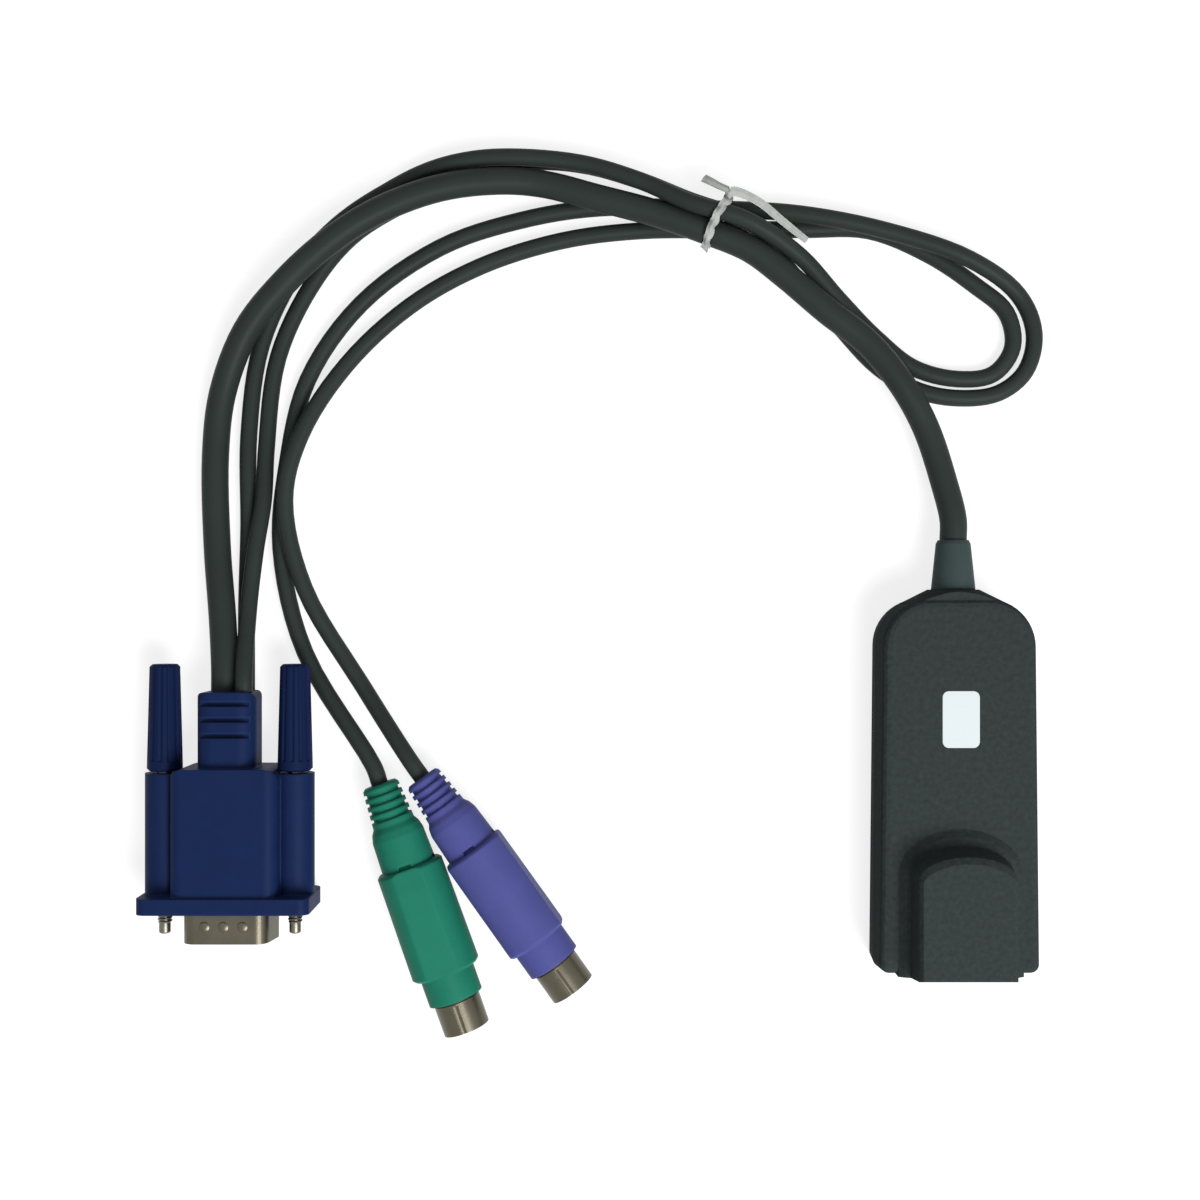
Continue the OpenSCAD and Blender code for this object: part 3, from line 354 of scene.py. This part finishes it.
# How far the loop drifts along the bundle from end to end, wanders, leans, and bows back over
# the top, where it is higher than BOW_FROM and within BOW_REACH of its middle.
LOOP_DRIFT = 0.45
LOOP_WANDER = 0.1
LOOP_LEAN = 0.6
LOOP_BOW = 0.7
BOW_FROM = 6
BOW_REACH = 5
LOOP_WIDTH = 0.8
LOOP_WIDTH_WAVE = 0.08
LEAN_WAVE = 1.3
WANDER_WAVE = 1.7
KNOT_AT = Vector((-43.75, 111.25, 8.1))
KNOT_TILT = math.radians(72)
KNOT_WAY = Vector((math.sin(KNOT_TILT) * math.cos(TIE_TURN),
                   math.sin(KNOT_TILT) * math.sin(TIE_TURN), math.cos(KNOT_TILT)))
KNOT_LENGTH = 1.6
KNOT_SINK = 0.2
KNOT_RADIUS = 0.44
KNOT_WIDTH = 0.78
KNOT_TURNS = 1.25
KNOT_PHASE = 0.4
KNOT_STEPS = 12
SHORT_END = [(-43.5, 112.9, 8.7), (-45.2, 113.7, 8.6), (-46.7, 114.6, 8.2), (-48.1, 115.5, 7.5)]
LONG_END = [(-42.4, 112.6, 8.8), (-40.5, 112.2, 8.4), (-37, 110.6, 7.5), (-33, 107.75, 6.1),
            (-30, 105.9, 4.4), (-27.75, 104.6, 3)]
# The strand's upper half from side to side, as parts of its half width and as a height.
STRAND_HALF = [(-1, 0.08), (-0.55, 0.12), (-0.3, 0.24), (0, 0.3), (0.3, 0.24), (0.55, 0.12), (1, 0.08)]
STRAND_STEPS = 4


def turns_left(a, b, c):
    """Above zero where the way from a by b to c turns left."""
    return (b[0] - a[0]) * (c[1] - a[1]) - (b[1] - a[1]) * (c[0] - a[0])


def half_outline(dots):
    """One half of the taut outline of sorted dots, without its last dot."""
    out = []
    for q in dots:
        while len(out) > 1 and turns_left(out[-2], out[-1], q) <= 0:
            out.pop()
        out.append(q)
    return out[:-1]


def around(circles, extra):
    """Evenly spaced points on the taut outline round some circles that grow by extra."""
    dots = []
    for x, y, r in circles:
        for k in range(CIRCLE_DOTS):
            a = 2 * math.pi * k / CIRCLE_DOTS
            dots.append((x + (r + extra) * math.cos(a), y + (r + extra) * math.sin(a)))
    dots.sort()
    ring = half_outline(dots) + half_outline(dots[::-1])
    ring.append(ring[0])
    out = []
    left = 0.0
    for a, b in zip(ring, ring[1:]):
        d = math.dist(a, b)
        while left <= d:
            t = left / d if d else 0
            out.append((a[0] + (b[0] - a[0]) * t, a[1] + (b[1] - a[1]) * t))
            left += LOOP_STEP
        left -= d
    return out


def tie_world(across, up, along):
    """A point of the part from its place in the tie's own plane and along the bundle."""
    c = math.cos(TIE_TURN)
    s = math.sin(TIE_TURN)
    return TIE_AT + Vector((across * c + along * s, across * s - along * c, up))


def strand(name, path, ups, widths):
    """A flat strip with a wire ridge along a path; ups are the ways that its flat side faces."""
    shape = [(a, -b) for a, b in STRAND_HALF] + STRAND_HALF[::-1]
    points = []
    for i, q in enumerate(path):
        way = (path[min(i + 1, len(path) - 1)] - path[max(i - 1, 0)]).normalized()
        up = (ups[i] - way * ups[i].dot(way)).normalized()
        across = way.cross(up)
        for a, b in shape:
            points.append(q + across * (a * widths[i]) + up * b)
    faces = tube_faces(len(path), len(shape))
    return mesh_piece(name, points, faces, TIE, "tie_paper", ROOT, "twist_tie")


def twist_tie():
    """The strand from the short tail through the knot, round the loop and out by the long tail."""
    loop = around(TIE_CIRCLES, LOOP_GAP)
    near = min(range(len(loop)), key=lambda i: math.dist(loop[i], LOOP_START))
    loop = loop[near:] + loop[:near]
    count = len(loop)
    knot_across = KNOT_WAY.cross(Vector((0, 0, 1))).normalized()
    knot_up = KNOT_WAY.cross(knot_across)
    path = []
    ups = []
    widths = []

    def add(q, up, width):
        path.append(Vector(q))
        ups.append(Vector(up))
        widths.append(width)

    def add_in_knot(t, phase):
        a = phase + 2 * math.pi * KNOT_TURNS * t
        out = knot_across * math.cos(a) + knot_up * math.sin(a)
        add(KNOT_AT + KNOT_WAY * (KNOT_LENGTH * t - KNOT_SINK) + out * KNOT_RADIUS, out, KNOT_WIDTH)

    for i, q in enumerate(SHORT_END[::-1]):
        add(q, (0.25 * i - 0.2, 0.3, 1), 0.85 - 0.03 * i)
    for i in range(KNOT_STEPS + 1):
        add_in_knot(1 - i / KNOT_STEPS, KNOT_PHASE)
    for i in range(2, count - 2):
        across, up = loop[i]
        out = Vector((across - LOOP_MIDDLE.x, up - LOOP_MIDDLE.y)).normalized()
        faced = tie_world(out.x, out.y, LOOP_LEAN * math.sin(i * LEAN_WAVE)) - TIE_AT
        wave = math.sin(i * WANDER_WAVE)
        bow = LOOP_BOW * max(0.0, 1 - (across / BOW_REACH) ** 2) if up > BOW_FROM else 0.0
        along = LOOP_DRIFT * (1 - 2 * i / count) + LOOP_WANDER * wave - bow
        width = LOOP_WIDTH + LOOP_WIDTH_WAVE * wave
        add(tie_world(across, max(up, LOOP_LOWEST), along), faced, width)
    for i in range(KNOT_STEPS + 1):
        add_in_knot(i / KNOT_STEPS, KNOT_PHASE + math.pi)
    for i, q in enumerate(LONG_END):
        add(q, (0.3 - 0.16 * i, -0.35 + 0.1 * i, 1), 0.9 - 0.055 * i)

    fine = []
    fine_ups = []
    fine_widths = []
    for i in range(len(path) - 1):
        a = path[i]
        b = path[i + 1]
        before = path[max(i - 1, 0)]
        after = path[min(i + 2, len(path) - 1)]
        for k in range(STRAND_STEPS):
            t = k / STRAND_STEPS
            fine.append(0.5 * ((2 * a) + (b - before) * t + (2 * before - 5 * a + 4 * b - after) * t * t
                               + (3 * a - before - 3 * b + after) * t ** 3))
            fine_ups.append(ups[i].normalized().lerp(ups[i + 1].normalized(), t))
            fine_widths.append(widths[i] + (widths[i + 1] - widths[i]) * t)
    fine.append(path[-1])
    fine_ups.append(ups[-1])
    fine_widths.append(widths[-1])
    return strand("tie_strand", fine, fine_ups, fine_widths)


tie = twist_tie()


# Cables. Their centre lines, in millimetres, pass the same points as in the CAD source.

MAIN_RADIUS = 2.6
LEAD_RADIUS = 1.65
LINE_STEPS = 6
CABLE_ROUNDNESS = 7
MAIN_ROUTE = [
    (0, 46, 6.5), (0, 50, 6.5), (-1.5, 57, 5.6), (-5, 68, 5), (-10, 76.5, 5.9),
    (-16.5, 84.25, 6), (-24.25, 90.25, 6.2), (-32.25, 97, 6.4), (-39, 102, 6.6),
    (-46.75, 105.25, 6.7), (-57.5, 109, 6.6), (-68.5, 112, 6.2), (-78.75, 115, 4.8),
    (-87.25, 115.5, 5.4), (-98.75, 114, 6.1), (-110.5, 109.75, 6.1), (-120, 103.75, 6.3),
    (-129, 95.5, 6.4), (-136.5, 86.5, 5.2), (-141.5, 74.75, 3.2), (-143, 62.75, 2.7),
    (-142.5, 45.25, 3.4), (-140.75, 30.75, 6.2), (-140, 21.5, 7.5), (-140, 17, 7.5),
]
KEYBOARD_ROUTE = [
    (-136.5, 17, 4.7), (-136.5, 20.5, 4.7), (-137, 33.5, 2.4), (-136.75, 49.25, 1.65),
    (-136.75, 66.75, 1.65), (-134.25, 84.5, 1.65), (-127.5, 98.75, 1.65), (-119.5, 107.75, 1.65),
    (-110, 114.25, 1.65), (-101.75, 118, 3.1), (-94, 119.75, 4.4), (-85.5, 120.25, 5),
    (-71.75, 119, 5.2), (-60.25, 115, 7.4), (-50.75, 110.25, 9.7), (-39.75, 106.75, 9.8),
    (-29.25, 100.75, 5.8), (-21.75, 93.25, 3.3), (-14.25, 86, 1.65), (-6.75, 80, 1.65),
    (2, 77.75, 1.65), (9, 78.75, 1.65), (12.75, 84, 1.65), (11.5, 90.75, 1.65),
    (5.5, 96, 1.65), (-3.5, 102, 1.65), (-15.25, 106.75, 1.65), (-27.75, 107, 1.65),
    (-43.5, 106.75, 2.4), (-60.25, 106.75, 1.65), (-75.75, 104.75, 1.65), (-91.5, 99.75, 1.65),
    (-105.25, 92, 1.65), (-117.5, 80.5, 2.2), (-126, 66.25, 5), (-129, 53.75, 5.1),
    (-125.5, 36.75, 3.4), (-114.5, 17.75, 1.65), (-104.5, 3.5, 6.7), (-102.25, 0.35, 6.7),
]
MOUSE_ROUTE = [
    (-135.75, 17, 10), (-135.75, 20.5, 10), (-135.75, 34, 5.7), (-134.75, 44.25, 4.7),
    (-133.5, 54, 3.4), (-133.25, 64.75, 1.65), (-131, 82, 1.65), (-124.5, 96, 1.65),
    (-116.75, 105.5, 1.65), (-107, 111.75, 1.65), (-96.5, 116.5, 1.65), (-84.75, 120, 1.65),
    (-72, 119.75, 1.65), (-60.25, 116, 3.8), (-50.5, 111.5, 6), (-42.75, 108.75, 6.3),
    (-37, 106, 5.4), (-31, 99, 2), (-21.75, 88.75, 1.65), (-13.5, 80, 1.65),
    (-5.75, 75.5, 1.65), (2.25, 74, 1.65), (10, 75, 1.65), (15.25, 79.25, 1.65),
    (17, 86.5, 1.65), (14, 94, 1.8), (3.75, 100.5, 4.7), (-12.75, 106, 5.1),
    (-29.25, 109.25, 4.9), (-44.5, 110.75, 2.7), (-68, 111.25, 1.65), (-83.75, 108.75, 1.65),
    (-99.25, 103.5, 1.65), (-114.75, 92.5, 1.65), (-125.25, 77.5, 1.65), (-129.25, 61, 1.65),
    (-130.5, 44.75, 1.65), (-125.75, 24.25, 1.65), (-111.7, 2.4, 5.85), (-110.5, -1, 5.85),
]


def smooth_line(route, lowest):
    """A smooth curve through the route's points; none of it lies lower than lowest."""
    p = [Vector(q) for q in route]
    p = [2 * p[0] - p[1]] + p + [2 * p[-1] - p[-2]]
    out = []
    for i in range(1, len(p) - 2):
        a, b, c, d = p[i - 1:i + 3]
        ab, bc, cd = (math.sqrt(max((v - u).length, 1e-6)) for u, v in ((a, b), (b, c), (c, d)))
        leave = ((b - a) / ab - (c - a) / (ab + bc) + (c - b) / bc) * bc
        arrive = ((c - b) / bc - (d - b) / (bc + cd) + (d - c) / cd) * bc
        for k in range(LINE_STEPS):
            t = k / LINE_STEPS
            q = ((2 * t**3 - 3 * t**2 + 1) * b + (t**3 - 2 * t**2 + t) * leave
                 + (3 * t**2 - 2 * t**3) * c + (t**3 - t**2) * arrive)
            out.append(Vector((q.x, q.y, max(q.z, lowest))))
    out.append(p[-2])
    return out


def cable(name, route, radius, node):
    """A cable as one open curve along its route, and its length in metres."""
    line = smooth_line(route, radius)
    data = bpy.data.curves.new(name, "CURVE")
    data.dimensions = "3D"
    data.bevel_depth = radius * MM
    data.bevel_resolution = CABLE_ROUNDNESS
    data.use_fill_caps = True
    spline = data.splines.new("POLY")
    spline.points.add(len(line) - 1)
    for q, v in zip(spline.points, line):
        q.co = (v.x * MM, v.y * MM, v.z * MM, 1)
    spline.use_smooth = True
    obj = bpy.data.objects.new(name, data)
    scene.collection.objects.link(obj)
    dress(obj, JACKET)
    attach(obj, ROOT)
    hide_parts(node)
    length = sum((b - a).length for a, b in zip(line, line[1:]))
    return obj, length * MM


main_cable, main_len = cable("main_cable_line", MAIN_ROUTE, MAIN_RADIUS, "main_cable")
keyboard_lead, keyboard_len = cable("keyboard_lead_line", KEYBOARD_ROUTE, LEAD_RADIUS, "keyboard_lead")
mouse_lead, mouse_len = cable("mouse_lead_line", MOUSE_ROUTE, LEAD_RADIUS, "mouse_lead")


# Stage: white surroundings that light the part only weakly, a white table and two lamps.

SKY_LIGHT = 0.24
TABLE_HALF = 1.5
TABLE_Z = -0.0002
TABLE_GREY = 0.36
TABLE_GLOW = 0.78
TABLE_ROUGHNESS = 0.9


def seen_or_mirrored(tree):
    """One for what the camera sees, straight, mirrored or through glass; zero for lighting."""
    path = tree.nodes.new("ShaderNodeLightPath")
    seen = path.outputs["Is Camera Ray"]
    for ray in ("Is Glossy Ray", "Is Transmission Ray"):
        either = tree.nodes.new("ShaderNodeMath")
        either.operation = "MAXIMUM"
        tree.links.new(seen, either.inputs[0])
        tree.links.new(path.outputs[ray], either.inputs[1])
        seen = either.outputs[0]
    return seen


def one_of_two(tree, lighting, seen, output):
    """Shows one shader to what is lit by it and the other to the camera and in mirrors."""
    choice = tree.nodes.new("ShaderNodeMixShader")
    tree.links.new(seen_or_mirrored(tree), choice.inputs[0])
    tree.links.new(lighting.outputs[0], choice.inputs[1])
    tree.links.new(seen.outputs[0], choice.inputs[2])
    tree.links.new(choice.outputs[0], tree.nodes[output].inputs["Surface"])


world = bpy.data.worlds.new("world")
scene.world = world
world.use_nodes = True
air = world.node_tree
sky = air.nodes["Background"]
sky.inputs["Color"].default_value = (1, 1, 1, 1)
sky.inputs["Strength"].default_value = SKY_LIGHT
white = air.nodes.new("ShaderNodeBackground")
white.inputs["Color"].default_value = (1, 1, 1, 1)
white.inputs["Strength"].default_value = 1.0
one_of_two(air, sky, white, "World Output")

paper = bpy.data.materials.new("table_white")
paper.use_nodes = True
sheet = paper.node_tree
matt = sheet.nodes["Principled BSDF"]
matt.inputs["Base Color"].default_value = (TABLE_GREY, TABLE_GREY, TABLE_GREY, 1)
matt.inputs["Roughness"].default_value = TABLE_ROUGHNESS
glow = sheet.nodes.new("ShaderNodeEmission")
glow.inputs["Strength"].default_value = TABLE_GLOW
bright = sheet.nodes.new("ShaderNodeAddShader")
sheet.links.new(matt.outputs[0], bright.inputs[0])
sheet.links.new(glow.outputs[0], bright.inputs[1])
one_of_two(sheet, matt, bright, "Material Output")

corners = [(x * TABLE_HALF, y * TABLE_HALF, TABLE_Z) for x, y in ((-1, -1), (1, -1), (1, 1), (-1, 1))]
floor_mesh = bpy.data.meshes.new("table_top")
floor_mesh.from_pydata(corners, [], [(0, 1, 2, 3)])
floor_mesh.materials.append(paper)
floor = bpy.data.objects.new("table_top", floor_mesh)
scene.collection.objects.link(floor)


def lamp(name, size, power, place, aim):
    """A square lamp at a place, turned towards its aim."""
    data = bpy.data.lights.new(name, "AREA")
    data.shape = "SQUARE"
    data.size = size
    data.energy = power
    obj = bpy.data.objects.new(name, data)
    obj.location = place
    obj.rotation_euler = (Vector(aim) - Vector(place)).to_track_quat("-Z", "Y").to_euler()
    scene.collection.objects.link(obj)


lamp("key", 0.4, 5.9, (0.22, -0.34, 0.6), (-0.05, 0.02, 0))
lamp("fill", 0.6, 0.35, (-0.3, 0.3, 0.7), (-0.06, 0.03, 0))
